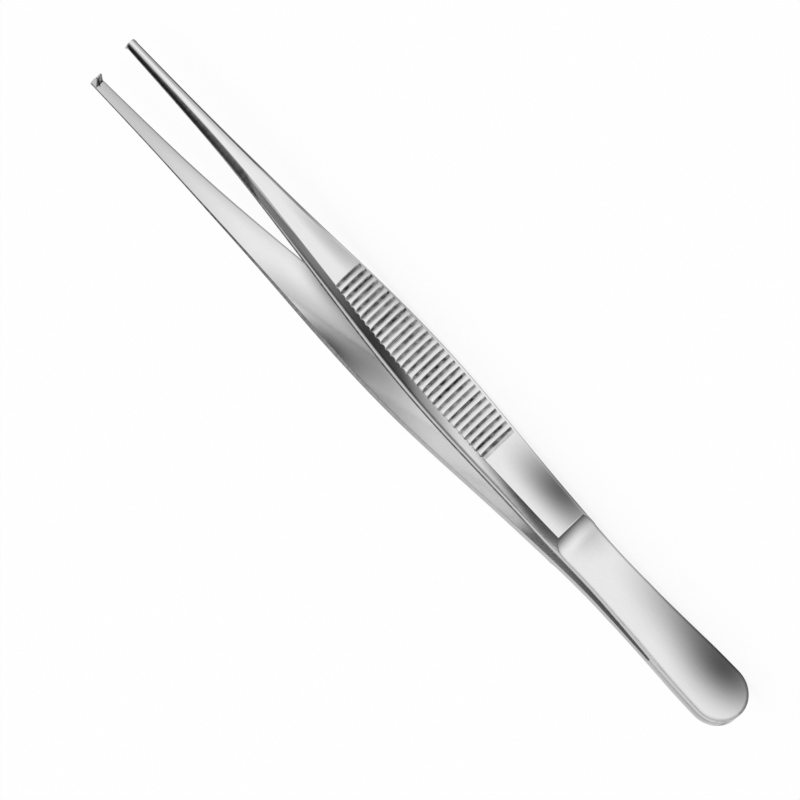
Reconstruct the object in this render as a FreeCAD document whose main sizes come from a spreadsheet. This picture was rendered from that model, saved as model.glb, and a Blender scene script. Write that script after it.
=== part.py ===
import FreeCAD, Part
import Sketcher
import math
import os

# Thumb forceps with one-by-two teeth at the tips.
# Two forged steel arms are welded face to face at the butt and spring apart towards the tips.
# Each arm is one piece: half-round jaw, serrated finger grip, shoulder, thin spring leaf and butt.
# The forceps lie on their side: +X points from the butt to the tips, Y is the direction in which
# the arms open and +Z is up, across the width of the arms. All sizes are in millimetres.
# The origin is the middle of the footprint, on the surface that the forceps lie on.

# Driving dimensions. A width is measured along Z and a depth, height or gap along Y.
SIZES = {
    # lengths along the arm, which add up to the whole length, and the weld within the leaf
    "jaw_length": 50.5,
    "grip_length": 53.9,
    "leaf_length": 40.6,
    "weld_length": 16.4,
    # half of the gap between the arms, at the tip, at its two bends and in front of the weld
    "tip_half_gap": 8.55,
    "knee_half_gap": 7.81,
    "heel_half_gap": 1.14,
    "weld_half_gap": 0.25,
    "knee_from_tip": 24.5,
    "heel_from_butt": 43.3,
    "knee_radius": 250.0,
    "heel_radius": 150.0,
    # width of the inner face
    "tip_width": 1.9,
    "nose_width": 2.68,
    "neck_width": 4.05,
    "throat_width": 6.15,
    "front_width": 7.65,
    "belly_width": 10.35,
    "back_width": 9.25,
    "shoulder_width": 8.65,
    "waist_width": 8.15,
    "seat_width": 9.0,
    "pad_width": 10.2,
    "butt_width": 10.2,
    # width of the outer face
    "tip_crest": 0.7,
    "nose_crest": 0.95,
    "neck_crest": 2.0,
    "throat_crest": 4.1,
    "front_crest": 5.75,
    "belly_crest": 7.85,
    "back_crest": 6.9,
    "shoulder_crest": 6.15,
    "waist_crest": 5.6,
    "seat_crest": 6.4,
    "pad_crest": 7.6,
    "butt_crest": 7.6,
    # depth from the inner face to the edges of the outer face
    "tip_depth": 0.88,
    "nose_depth": 1.18,
    "neck_depth": 1.42,
    "throat_depth": 1.85,
    "front_depth": 2.3,
    "belly_depth": 2.6,
    "back_depth": 2.55,
    "shoulder_depth": 2.5,
    "waist_depth": 2.4,
    "seat_depth": 2.4,
    "pad_depth": 2.4,
    "butt_depth": 2.4,
    # depth of the upright edge beside the inner face
    "tip_edge": 0.1,
    "nose_edge": 0.14,
    "neck_edge": 0.5,
    "throat_edge": 0.95,
    "front_edge": 1.2,
    "belly_edge": 1.3,
    "back_edge": 1.3,
    "shoulder_edge": 1.3,
    "waist_edge": 1.3,
    "seat_edge": 1.35,
    "pad_edge": 1.35,
    "butt_edge": 1.35,
    # radius of the flanks, from the upright edge to the outer face
    "tip_flank": 0.95,
    "nose_flank": 1.3,
    "neck_flank": 2.4,
    "throat_flank": 6.0,
    "front_flank": 12.0,
    "belly_flank": 12.0,
    "back_flank": 12.0,
    "shoulder_flank": 12.0,
    "waist_flank": 12.0,
    "seat_flank": 12.0,
    "pad_flank": 12.0,
    "butt_flank": 12.0,
    # radius of the outer face across the arm
    "tip_crown": 0.95,
    "nose_crown": 1.4,
    "neck_crown": 4.0,
    "throat_crown": 16.0,
    "front_crown": 40.0,
    "belly_crown": 60.0,
    "back_crown": 60.0,
    "shoulder_crown": 60.0,
    "waist_crown": 60.0,
    "seat_crown": 60.0,
    "pad_crown": 60.0,
    "butt_crown": 60.0,
    # metal left on the inner face of the forging, which the grinding of the side profile removes
    "grinding_allowance": 0.5,
    # spring leaf, with the cove that runs down to it from the shoulder
    "leaf_thickness": 1.08,
    "butt_thickness": 1.19,
    "leaf_bend_radius": 200.0,
    "cove_radius": 5.2,
    "cove_runout": 3.6,
    "cove_rise": 2.6,
    "butt_round": 5.1,
    # cross grooves of the grip, on the bow of the outer face
    "groove_from_tip": 51.0,
    "groove_pitch": 1.273,
    "groove_width": 0.62,
    "groove_depth": 0.3,
    "bow_radius": 1290.0,
    "bow_tilt": 3.63,
    # teeth at the tips
    "tip_round": 0.55,
    "tooth_zone": 1.4,
    "tooth_root": 0.12,
    "tooth_point": 0.12,
    "tooth_rake": 0.42,
    "single_tooth_height": 2.3,
    "single_tooth_base": 0.5,
    "relief_depth": 0.55,
    "double_tooth_height": 1.85,
    "double_tooth_spread": 1.1,
    "double_tooth_inset": 0.06,
    "notch_width": 0.2,
    "notch_depth": 0.45,
}
GROOVE_COUNT = 29

# The stations along the arm. Each lies at a share of one of the three lengths, and its inner face
# is on one of the runs of the side profile.
STATIONS = [
    ("tip", "jaw", 0.0, "jaw"),
    ("nose", "jaw", 0.27, "jaw"),
    ("neck", "jaw", 0.55, "grip"),
    ("throat", "jaw", 0.83, "grip"),
    ("front", "jaw", 1.0, "grip"),
    ("belly", "grip", 0.42, "grip"),
    ("back", "grip", 0.8, "grip"),
    ("shoulder", "grip", 1.0, "leaf"),
    ("waist", "leaf", 0.2, "leaf"),
    ("seat", "leaf", 0.5, "weld"),
    ("pad", "leaf", 0.87, "weld"),
    ("butt", "leaf", 1.0, "weld"),
]

# How far a cutting outline runs past the metal.
OVERRUN = 4.0

document = FreeCAD.newDocument("thumb_forceps")
sheet = document.addObject("Spreadsheet::Sheet", "sizes")
for row, (name, value) in enumerate(SIZES.items(), start=1):
    sheet.set("A" + str(row), name)
    sheet.set("B" + str(row), str(value))
    sheet.setAlias("B" + str(row), name)
document.recompute()


class Formula:
    """A length worked out from the sheet, as its present value and as the text of its formula."""

    def __init__(self, value, text):
        self.value = value
        self.text = text

    def __add__(self, other):
        other = formula(other)
        return Formula(self.value + other.value, "(" + self.text + " + " + other.text + ")")

    def __sub__(self, other):
        other = formula(other)
        return Formula(self.value - other.value, "(" + self.text + " - " + other.text + ")")

    def __mul__(self, other):
        other = formula(other)
        return Formula(self.value * other.value, "(" + self.text + " * " + other.text + ")")

    def __truediv__(self, other):
        other = formula(other)
        return Formula(self.value / other.value, "(" + self.text + " / " + other.text + ")")


def formula(length):
    """A plain number as a formula, so that the two can be mixed."""
    if isinstance(length, Formula):
        return length
    return Formula(length, "(" + str(length) + ")")


def size(name):
    """A driving dimension."""
    return Formula(SIZES[name], "sizes." + name)


def bind(sketch, kind, elements, name, length):
    """A dimension of a sketch, bound to the sheet under a name of its own."""
    length = formula(length)
    index = sketch.addConstraint(Sketcher.Constraint(kind, *elements, length.value))
    sketch.renameConstraint(index, name)
    sketch.setExpression("Constraints." + name, length.text)


def plane(body, role):
    """One of the body's own origin planes."""
    return [part for part in body.Origin.OriginFeatures if part.Role == role][0]


def add_sketch(body, name, role):
    """An empty sketch on one of the body's own planes."""
    sketch = body.newObject("Sketcher::SketchObject", name)
    sketch.AttachmentSupport = (plane(body, role), [""])
    sketch.MapMode = "FlatFace"
    return sketch


def add_loop(sketch, curves, smooth=(), clockwise=()):
    """Closed outline: each curve ends where the next one starts.

    The curves in smooth run on into the next one without a corner. An arc holds its ends in
    counterclockwise order, so those in clockwise are met at their second end first.
    """
    for curve in curves:
        sketch.addGeometry(curve, False)
    for index in range(len(curves)):
        following = (index + 1) % len(curves)
        leaving = 1 if index in clockwise else 2
        entering = 2 if following in clockwise else 1
        kind = "Tangent" if index in smooth else "Coincident"
        sketch.addConstraint(Sketcher.Constraint(kind, index, leaving, following, entering))


def add_mark(sketch, name, from_tip, height, lines):
    """A named point of a side profile, at a distance from the tip and a height, on some lines."""
    mark = sketch.addGeometry(Part.Point(point(-from_tip.value, height.value)), True)
    if from_tip.value:
        bind(sketch, "DistanceX", (mark, 1, -1, 1), name + "_from_tip", from_tip)
    else:
        sketch.addConstraint(Sketcher.Constraint("PointOnObject", mark, 1, -2))
    bind(sketch, "DistanceY", (-1, 1, mark, 1), name + "_height", height)
    for index in lines:
        sketch.addConstraint(Sketcher.Constraint("PointOnObject", mark, 1, index))


def point(x, y):
    return FreeCAD.Vector(x, y, 0)


def line(start, end):
    return Part.LineSegment(start, end)


def bent_arc(start, end, radius):
    """Arc of a radius between two points, bulging to the right of the way from start to end."""
    chord = end - start
    middle = (start + end) * 0.5
    half = chord.Length / 2
    rise = radius - math.sqrt(radius ** 2 - half ** 2)
    outward = point(chord.y, -chord.x) * (1 / chord.Length)
    return Part.Arc(start, middle + outward * rise, end)


def corner(before, at, after, radius):
    """The arc that rounds a corner of a polyline, with its first and last point."""
    back = (before - at).normalize()
    on = (after - at).normalize()
    half_turn = (math.pi - back.getAngle(on)) / 2
    first = at + back * (radius * math.tan(half_turn))
    last = at + on * (radius * math.tan(half_turn))
    inward = (back + on).normalize()
    middle = at + inward * (radius / math.cos(half_turn) - radius)
    turn = (at - before).cross(after - at).z
    arc = Part.Arc(first, middle, last) if turn > 0 else Part.Arc(last, middle, first)
    return first, arc, last


WHOLE_LENGTH = size("jaw_length") + size("grip_length") + size("leaf_length")
SHOULDER = size("jaw_length") + size("grip_length")
HEEL = WHOLE_LENGTH - size("heel_from_butt")
WELD = WHOLE_LENGTH - size("weld_length")

# The runs of the inner face: where each starts and ends, and half of the gap there.
RUNS = {
    "jaw": (formula(0.0), size("tip_half_gap"), size("knee_from_tip"), size("knee_half_gap")),
    "grip": (size("knee_from_tip"), size("knee_half_gap"), HEEL, size("heel_half_gap")),
    "leaf": (HEEL, size("heel_half_gap"), WELD, size("weld_half_gap")),
}


def run_height(run, from_tip):
    """Height of the inner face above the middle of the forceps on a run; none in the weld."""
    if run == "weld":
        return formula(0.0)
    start, start_gap, end, end_gap = RUNS[run]
    return start_gap + (end_gap - start_gap) * (from_tip - start) / (end - start)


def station_distance(length, share):
    """Distance of a station from the tip."""
    if length == "jaw":
        return size("jaw_length") * share
    if length == "grip":
        return size("jaw_length") + size("grip_length") * share
    return SHOULDER + size("leaf_length") * share


def add_section(body, name, length, share, run):
    """Cross-section of the forging: flat inner face, upright edges, flanks and crowned outer face."""
    from_tip = station_distance(length, share)
    face = run_height(run, from_tip)
    depth = size(name + "_depth")
    edge = size(name + "_edge")
    width = size(name + "_width")
    crest = size(name + "_crest")
    flank = size(name + "_flank")
    crown = size(name + "_crown")
    allowance = size("grinding_allowance")
    sketch = add_sketch(body, name + "_section", "YZ_Plane")
    sketch.AttachmentOffset = FreeCAD.Placement(FreeCAD.Vector(0, 0, -from_tip.value), FreeCAD.Rotation())
    sketch.setExpression("AttachmentOffset.Base.z", "-" + from_tip.text)
    inner = (face - allowance).value
    upright = (face + edge).value
    outer = (face + depth).value
    half = width.value / 2
    half_crest = crest.value / 2
    low_foot = point(upright, -half)
    low_crest = point(outer, -half_crest)
    high_crest = point(outer, half_crest)
    high_foot = point(upright, half)
    add_loop(sketch, [
        line(point(inner, half), point(inner, -half)),
        line(point(inner, -half), low_foot),
        bent_arc(low_foot, low_crest, flank.value),
        bent_arc(low_crest, high_crest, crown.value),
        bent_arc(high_crest, high_foot, flank.value),
        line(high_foot, point(inner, half)),
    ])
    sketch.addConstraint(Sketcher.Constraint("Symmetric", 0, 1, 0, 2, -1))
    sketch.addConstraint(Sketcher.Constraint("Symmetric", 3, 1, 3, 2, -1))
    sketch.addConstraint(Sketcher.Constraint("Horizontal", 1))
    sketch.addConstraint(Sketcher.Constraint("Horizontal", 5))
    sketch.addConstraint(Sketcher.Constraint("Vertical", 2, 1, 4, 2))
    sketch.addConstraint(Sketcher.Constraint("Equal", 2, 4))
    sketch.addConstraint(Sketcher.Constraint("PointOnObject", 3, 3, -1))
    bind(sketch, "DistanceX", (-1, 1, 3, 2), "outer_face", face + depth)
    bind(sketch, "DistanceX", (0, 1, 3, 2), "metal", depth + allowance)
    bind(sketch, "DistanceX", (4, 2, 3, 2), "flank_depth", depth - edge)
    bind(sketch, "DistanceY", (0, 2, 0, 1), "foot_width", width)
    bind(sketch, "DistanceY", (3, 1, 3, 2), "crest_width", crest)
    bind(sketch, "Radius", (2,), "flank_radius", flank)
    bind(sketch, "Radius", (3,), "crown_radius", crown)
    return sketch


def add_forging(body):
    """The arm as forged, lofted through its cross-sections from the tip to the butt."""
    sections = [add_section(body, *station) for station in STATIONS]
    forging = body.newObject("PartDesign::AdditiveLoft", "forging")
    forging.Profile = (sections[0], [""])
    forging.Sections = [(section, [""]) for section in sections[1:]]
    forging.Ruled = False
    return forging


def add_cut(body, sketch, name):
    """A cut with an outline, right through the width of the arm."""
    cut = body.newObject("PartDesign::Pocket", name)
    cut.Profile = (sketch, [""])
    cut.SideType = "Symmetric"
    cut.Type = "Length"
    cut.Length = 2 * SIZES["belly_width"]
    cut.setExpression("Length", "2 * sizes.belly_width")
    body.Tip = cut
    return cut


def grind_inner_face(body):
    """Side profile of the inner face: three straight runs joined by two bends, then the weld pad."""
    run_out = point(OVERRUN, 0)
    slope = (size("tip_half_gap") - size("knee_half_gap")).value / size("knee_from_tip").value
    start = point(OVERRUN, size("tip_half_gap").value + OVERRUN * slope)
    knee = point(-size("knee_from_tip").value, size("knee_half_gap").value)
    heel = point(-HEEL.value, size("heel_half_gap").value)
    pad = point(-WELD.value, size("weld_half_gap").value)
    knee_start, knee_arc, knee_end = corner(start, knee, heel, size("knee_radius").value)
    heel_start, heel_arc, heel_end = corner(knee, heel, pad, size("heel_radius").value)
    pad_foot = point(-WELD.value, 0)
    far_end = point(-WHOLE_LENGTH.value - OVERRUN, 0)
    below = point(0, -OVERRUN)
    sketch = add_sketch(body, "inner_profile", "XY_Plane")
    add_loop(sketch, [
        line(start, knee_start),
        knee_arc,
        line(knee_end, heel_start),
        heel_arc,
        line(heel_end, pad),
        line(pad, pad_foot),
        line(pad_foot, far_end),
        line(far_end, far_end + below),
        line(far_end + below, run_out + below),
        line(run_out + below, start),
    ], smooth=(0, 1, 2, 3), clockwise=(3,))
    for upright in (5, 7, 9):
        sketch.addConstraint(Sketcher.Constraint("Vertical", upright))
    for level in (6, 8):
        sketch.addConstraint(Sketcher.Constraint("Horizontal", level))
    sketch.addConstraint(Sketcher.Constraint("PointOnObject", 6, 1, -1))
    bind(sketch, "DistanceX", (-1, 1, 0, 1), "run_out", OVERRUN)
    bind(sketch, "DistanceX", (6, 2, -1, 1), "far_end", WHOLE_LENGTH + OVERRUN)
    bind(sketch, "DistanceY", (7, 2, 7, 1), "below", OVERRUN)
    bind(sketch, "DistanceX", (5, 2, -1, 1), "weld_front", WELD)
    bind(sketch, "DistanceY", (5, 2, 5, 1), "weld_gap", size("weld_half_gap"))
    bind(sketch, "Radius", (1,), "knee_radius", size("knee_radius"))
    bind(sketch, "Radius", (3,), "heel_radius", size("heel_radius"))
    add_mark(sketch, "tip", formula(0.0), size("tip_half_gap"), (0,))
    add_mark(sketch, "knee", size("knee_from_tip"), size("knee_half_gap"), (0, 2))
    add_mark(sketch, "heel", HEEL, size("heel_half_gap"), (2, 4))
    return add_cut(body, sketch, "inner_grinding")


def mill_leaf(body):
    """Side profile of the outer face behind the shoulder: cove, spring leaf and welded butt."""
    leaf = size("leaf_thickness")
    end = point(-WHOLE_LENGTH.value, size("butt_thickness").value)
    bend = point(-WELD.value, (size("weld_half_gap") + leaf).value)
    heel = point(-HEEL.value, (size("heel_half_gap") + leaf).value)
    slope = (bend - end).y / (bend - end).x
    start = end - point(OVERRUN, OVERRUN * slope)
    bend_start, bend_arc, bend_end = corner(start, bend, heel, size("leaf_bend_radius").value)
    cove_from_tip = SHOULDER + size("cove_runout")
    leaf_run = heel - bend
    leaf_run.normalize()
    cove_foot = bend + leaf_run * ((-cove_from_tip.value - bend.x) / leaf_run.x)
    radius = size("cove_radius").value
    rise = size("cove_rise").value
    centre = cove_foot + point(-leaf_run.y, leaf_run.x) * radius
    cove_top = point(0, cove_foot.y + rise)
    cove_top.x = centre.x + math.sqrt(radius ** 2 - (centre.y - cove_top.y) ** 2)
    above = point(cove_top.x, cove_top.y + OVERRUN)
    sketch = add_sketch(body, "leaf_profile", "XY_Plane")
    add_loop(sketch, [
        line(start, bend_start),
        bend_arc,
        line(bend_end, cove_foot),
        bent_arc(cove_foot, cove_top, radius),
        line(cove_top, above),
        line(above, point(start.x, above.y)),
        line(point(start.x, above.y), start),
    ], smooth=(0, 1, 2))
    for upright in (4, 6):
        sketch.addConstraint(Sketcher.Constraint("Vertical", upright))
    sketch.addConstraint(Sketcher.Constraint("Horizontal", 5))
    bind(sketch, "DistanceX", (0, 1, -1, 1), "far_end", WHOLE_LENGTH + OVERRUN)
    bind(sketch, "DistanceX", (3, 1, -1, 1), "cove_foot", cove_from_tip)
    bind(sketch, "DistanceY", (3, 1, 3, 2), "cove_rise", size("cove_rise"))
    bind(sketch, "DistanceY", (4, 1, 4, 2), "above", OVERRUN)
    bind(sketch, "Radius", (1,), "bend_radius", size("leaf_bend_radius"))
    bind(sketch, "Radius", (3,), "cove_radius", size("cove_radius"))
    add_mark(sketch, "butt", WHOLE_LENGTH, size("butt_thickness"), (0,))
    add_mark(sketch, "bend", WELD, size("weld_half_gap") + leaf, (0, 2))
    add_mark(sketch, "heel", HEEL, size("heel_half_gap") + leaf, (2,))
    return add_cut(body, sketch, "leaf_milling")


def round_butt(body):
    """Plan outline of the butt: a half-round end."""
    radius = size("butt_round")
    centre = WHOLE_LENGTH - radius
    inside = -centre.value
    outside = -WHOLE_LENGTH.value - OVERRUN
    side = radius.value + OVERRUN
    low = point(inside, -radius.value)
    high = point(inside, radius.value)
    sketch = add_sketch(body, "butt_outline", "XZ_Plane")
    add_loop(sketch, [
        Part.Arc(high, point(-WHOLE_LENGTH.value, 0), low),
        line(high, point(inside, side)),
        line(point(inside, side), point(outside, side)),
        line(point(outside, side), point(outside, -side)),
        line(point(outside, -side), point(inside, -side)),
        line(point(inside, -side), low),
    ], clockwise=(0,))
    for upright in (1, 5):
        sketch.addConstraint(Sketcher.Constraint("Vertical", upright))
    for level in (2, 4):
        sketch.addConstraint(Sketcher.Constraint("Horizontal", level))
    sketch.addConstraint(Sketcher.Constraint("PointOnObject", 0, 3, -1))
    sketch.addConstraint(Sketcher.Constraint("Symmetric", 2, 2, 3, 2, -1))
    bind(sketch, "Radius", (0,), "butt_round", radius)
    bind(sketch, "DistanceX", (0, 3, -1, 1), "centre", centre)
    bind(sketch, "DistanceX", (2, 2, -1, 1), "far_end", WHOLE_LENGTH + OVERRUN)
    bind(sketch, "DistanceY", (-1, 1, 2, 2), "side", radius + OVERRUN)
    sketch.addConstraint(Sketcher.Constraint("Vertical", 0, 1, 0, 3))
    sketch.addConstraint(Sketcher.Constraint("Vertical", 0, 2, 0, 3))
    return add_cut(body, sketch, "butt_rounding")


def round_tip(body):
    """Plan outline of the tip, with rounded corners."""
    radius = size("tip_round")
    half = size("tip_width") * 0.5
    straight = (half - radius).value
    side = OVERRUN
    back = -radius.value
    bulge = radius.value * math.sqrt(0.5)
    upper = Part.Arc(point(0, straight), point(back + bulge, straight + bulge), point(back, half.value))
    lower = Part.Arc(point(back, -half.value), point(back + bulge, -straight - bulge), point(0, -straight))
    sketch = add_sketch(body, "tip_outline", "XZ_Plane")
    add_loop(sketch, [
        upper,
        line(point(0, straight), point(0, -straight)),
        lower,
        line(point(back, -half.value), point(back, -side)),
        line(point(back, -side), point(OVERRUN, -side)),
        line(point(OVERRUN, -side), point(OVERRUN, side)),
        line(point(OVERRUN, side), point(back, side)),
        line(point(back, side), point(back, half.value)),
    ], smooth=(0, 1), clockwise=(0, 2))
    for upright in (3, 5, 7):
        sketch.addConstraint(Sketcher.Constraint("Vertical", upright))
    for level in (4, 6):
        sketch.addConstraint(Sketcher.Constraint("Horizontal", level))
    sketch.addConstraint(Sketcher.Constraint("Equal", 0, 2))
    sketch.addConstraint(Sketcher.Constraint("Symmetric", 1, 1, 1, 2, -1))
    sketch.addConstraint(Sketcher.Constraint("PointOnObject", 1, 1, -2))
    sketch.addConstraint(Sketcher.Constraint("Vertical", 0, 2, 0, 3))
    sketch.addConstraint(Sketcher.Constraint("Vertical", 2, 1, 2, 3))
    bind(sketch, "Radius", (0,), "corner", radius)
    bind(sketch, "DistanceY", (-1, 1, 0, 2), "half_width", half)
    bind(sketch, "DistanceX", (-1, 1, 5, 1), "run_out", OVERRUN)
    bind(sketch, "DistanceY", (5, 1, -1, 1), "low_side", OVERRUN)
    bind(sketch, "DistanceY", (-1, 1, 5, 2), "high_side", OVERRUN)
    return add_cut(body, sketch, "tip_rounding")


def relieve_tip(body):
    """Slanting relief of the tip, which leaves room for the opposite teeth beside the middle one."""
    zone = size("tooth_zone")
    depth = size("relief_depth")
    face = run_height("jaw", zone)
    low = face.value - zone.value
    high = face.value + 2 * depth.value
    sketch = add_sketch(body, "relief_outline", "XY_Plane")
    add_loop(sketch, [
        line(point(-zone.value, face.value), point(-zone.value, low)),
        line(point(-zone.value, low), point(zone.value, low)),
        line(point(zone.value, low), point(zone.value, high)),
        line(point(zone.value, high), point(-zone.value, face.value)),
    ])
    for upright in (0, 2):
        sketch.addConstraint(Sketcher.Constraint("Vertical", upright))
    sketch.addConstraint(Sketcher.Constraint("Horizontal", 1))
    bind(sketch, "DistanceX", (0, 1, -1, 1), "back", zone)
    bind(sketch, "DistanceX", (-1, 1, 1, 2), "front", zone)
    bind(sketch, "DistanceY", (-1, 1, 0, 1), "face", face)
    bind(sketch, "DistanceY", (0, 2, 0, 1), "below", zone)
    bind(sketch, "DistanceY", (3, 2, 3, 1), "fall", depth * 2)
    return add_cut(body, sketch, "tip_relief")


def cut_grooves(body):
    """Cross grooves of the finger grip, spaced round the bow of the outer face."""
    bow = size("bow_radius")
    tilt = SIZES["bow_tilt"]
    face = run_height("grip", size("groove_from_tip")) + size("front_depth")
    centre_x = bow.value * math.sin(math.radians(tilt)) - size("groove_from_tip").value
    centre_y = face.value - bow.value * math.cos(math.radians(tilt))
    sketch = add_sketch(body, "groove_outline", "XY_Plane")
    turn = FreeCAD.Rotation(FreeCAD.Vector(0, 0, 1), tilt)
    sketch.AttachmentOffset = FreeCAD.Placement(FreeCAD.Vector(centre_x, centre_y, 0), turn)
    lean = "(sizes.bow_tilt * 1 deg)"
    sketch.setExpression("AttachmentOffset.Base.x",
                         bow.text + " * sin" + lean + " - sizes.groove_from_tip")
    sketch.setExpression("AttachmentOffset.Base.y", face.text + " - " + bow.text + " * cos" + lean)
    sketch.setExpression("AttachmentOffset.Rotation.Angle", "sizes.bow_tilt * 1 deg")
    width = size("groove_width")
    depth = size("groove_depth")
    bottom = point(0, (bow - depth).value)
    left = point(-width.value, (bow + depth).value)
    right = point(width.value, (bow + depth).value)
    add_loop(sketch, [line(bottom, right), line(right, left), line(left, bottom)])
    sketch.addConstraint(Sketcher.Constraint("PointOnObject", 0, 1, -2))
    sketch.addConstraint(Sketcher.Constraint("Symmetric", 1, 1, 1, 2, -2))
    bind(sketch, "DistanceY", (-1, 1, 0, 1), "bottom", bow - depth)
    bind(sketch, "DistanceY", (0, 1, 0, 2), "rise", depth * 2)
    bind(sketch, "DistanceX", (1, 2, 1, 1), "mouth", width * 2)
    groove = add_cut(body, sketch, "groove")
    grooves = body.newObject("PartDesign::PolarPattern", "grooves")
    grooves.Originals = [groove]
    grooves.Axis = (sketch, ["N_Axis"])
    grooves.Occurrences = GROOVE_COUNT
    gaps = str(GROOVE_COUNT - 1)
    grooves.Angle = math.degrees((GROOVE_COUNT - 1) * SIZES["groove_pitch"] / SIZES["bow_radius"])
    grooves.setExpression("Angle", gaps + " * sizes.groove_pitch / sizes.bow_radius * 1 rad")
    body.Tip = grooves
    return grooves


def add_tooth(body, name, height, root, foot, spread):
    """A tooth of the tip: a pyramid that stands on the inner face and has a root below it.

    The foot is its lowest and highest Z at the root, and the spread is the Z of its point.
    """
    point_width = size("tooth_point")
    zone = size("tooth_zone")
    rake = size("tooth_rake")
    tooth = body.newObject("PartDesign::AdditiveWedge", name)
    tooth.AttachmentSupport = (plane(body, "XY_Plane"), [""])
    tooth.MapMode = "FlatFace"
    upside_down = FreeCAD.Rotation(FreeCAD.Vector(1, 0, 0), 180)
    base_height = run_height("jaw", zone) + root
    tooth.AttachmentOffset = FreeCAD.Placement(FreeCAD.Vector(0, base_height.value, 0), upside_down)
    tooth.setExpression("AttachmentOffset.Base.y", base_height.text)
    sides = {
        "Xmin": formula(0.0) - zone,
        "Xmax": formula(0.0) - rake * 0.1,
        "X2min": formula(0.0) - rake - point_width * 2,
        "X2max": formula(0.0) - rake,
        "Ymin": formula(0.0),
        "Ymax": height + root,
        "Zmin": foot[0],
        "Zmax": foot[1],
        "Z2min": spread - point_width * 0.5,
        "Z2max": spread + point_width * 0.5,
    }
    for side, length in sides.items():
        setattr(tooth, side, length.value)
        tooth.setExpression(side, length.text)
    return tooth


def add_single_tooth(body):
    """The middle tooth of one arm."""
    relieve_tip(body)
    document.recompute()
    half_base = size("single_tooth_base") * 0.5
    foot = (formula(0.0) - half_base, half_base)
    root = size("tooth_root") + size("relief_depth")
    body.Tip = add_tooth(body, "middle_tooth", size("single_tooth_height"), root, foot, formula(0.0))


def add_double_teeth(body):
    """The two outer teeth of the other arm, with the notch for the middle tooth between them."""
    notch = size("notch_width") * 0.5
    outer = size("tip_width") * 0.5 - size("double_tooth_inset")
    tooth = add_tooth(body, "outer_tooth", size("double_tooth_height"), size("tooth_root"),
                      (notch, outer), size("double_tooth_spread") * 0.5)
    body.Tip = tooth
    pair = body.newObject("PartDesign::Mirrored", "outer_teeth")
    pair.Originals = [tooth]
    pair.MirrorPlane = (plane(body, "XY_Plane"), [""])
    body.Tip = pair
    sketch = add_sketch(body, "notch_outline", "XY_Plane")
    depth = size("notch_depth")
    floor = run_height("jaw", size("tooth_zone")) + depth
    back = -size("tooth_zone").value
    add_loop(sketch, [
        line(point(back, floor.value - 2 * depth.value), point(OVERRUN, floor.value - 2 * depth.value)),
        line(point(OVERRUN, floor.value - 2 * depth.value), point(OVERRUN, floor.value)),
        line(point(OVERRUN, floor.value), point(back, floor.value)),
        line(point(back, floor.value), point(back, floor.value - 2 * depth.value)),
    ])
    for level in (0, 2):
        sketch.addConstraint(Sketcher.Constraint("Horizontal", level))
    for upright in (1, 3):
        sketch.addConstraint(Sketcher.Constraint("Vertical", upright))
    bind(sketch, "DistanceY", (-1, 1, 2, 1), "floor", floor)
    bind(sketch, "DistanceY", (0, 1, 2, 2), "depth", depth * 2)
    bind(sketch, "DistanceX", (0, 1, -1, 1), "back", size("tooth_zone"))
    bind(sketch, "DistanceX", (-1, 1, 0, 2), "front", OVERRUN)
    slit = add_cut(body, sketch, "notch")
    slit.Length = SIZES["notch_width"]
    slit.setExpression("Length", "sizes.notch_width")
    body.Tip = slit


def make_arm(name, half_turn, add_teeth):
    """One arm, modelled with its tip at X = 0 and turned about its length into its place."""
    body = document.addObject("PartDesign::Body", name)
    body.Label = name
    add_forging(body)
    document.recompute()
    grind_inner_face(body)
    document.recompute()
    mill_leaf(body)
    document.recompute()
    round_butt(body)
    document.recompute()
    cut_grooves(body)
    document.recompute()
    add_teeth(body)
    document.recompute()
    round_tip(body)
    document.recompute()
    turn = FreeCAD.Rotation(FreeCAD.Vector(1, 0, 0), half_turn)
    body.Placement = FreeCAD.Placement(FreeCAD.Vector(0, 0, 0), turn)
    body.setExpression("Placement.Base.x", (WHOLE_LENGTH * 0.5).text)
    body.setExpression("Placement.Base.z", "sizes.belly_width / 2")
    return body


arms = [
    make_arm("single_tooth_arm", 180, add_single_tooth),
    make_arm("double_tooth_arm", 0, add_double_teeth),
]
document.recompute()

for item in document.Objects:
    if "Invalid" in item.State or "Error" in item.State:
        raise RuntimeError(item.Name + " failed: " + str(item.State))
os.makedirs("parts", exist_ok=True)
for arm in arms:
    if arm.Shape.isNull() or not arm.Shape.isValid():
        raise RuntimeError(arm.Label + " has no valid shape")
    arm.Shape.exportStep(os.path.join("parts", arm.Label + ".step"))
    print(arm.Label, len(arm.Shape.Solids), "solid of", round(arm.Shape.Volume, 1), "cubic millimetres")
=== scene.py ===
import math

import bmesh
import bpy
import numpy as np
from mathutils import Matrix, Vector


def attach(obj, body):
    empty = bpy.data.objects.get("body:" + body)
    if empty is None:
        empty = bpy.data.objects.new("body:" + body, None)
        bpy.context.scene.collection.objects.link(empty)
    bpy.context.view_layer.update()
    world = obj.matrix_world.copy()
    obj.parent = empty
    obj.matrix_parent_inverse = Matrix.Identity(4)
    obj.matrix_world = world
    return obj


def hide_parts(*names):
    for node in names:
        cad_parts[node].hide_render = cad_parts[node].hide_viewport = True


# Thumb forceps with one-by-two teeth, in satin ground steel, lying on their side.
# Each arm is one piece: a grid of cross-sections along the arm, worked out in millimetres and put
# into the mesh in metres. In a cross-section, across is the distance from the middle of the width
# and height is the distance from the plane where the arms are welded together.

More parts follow.
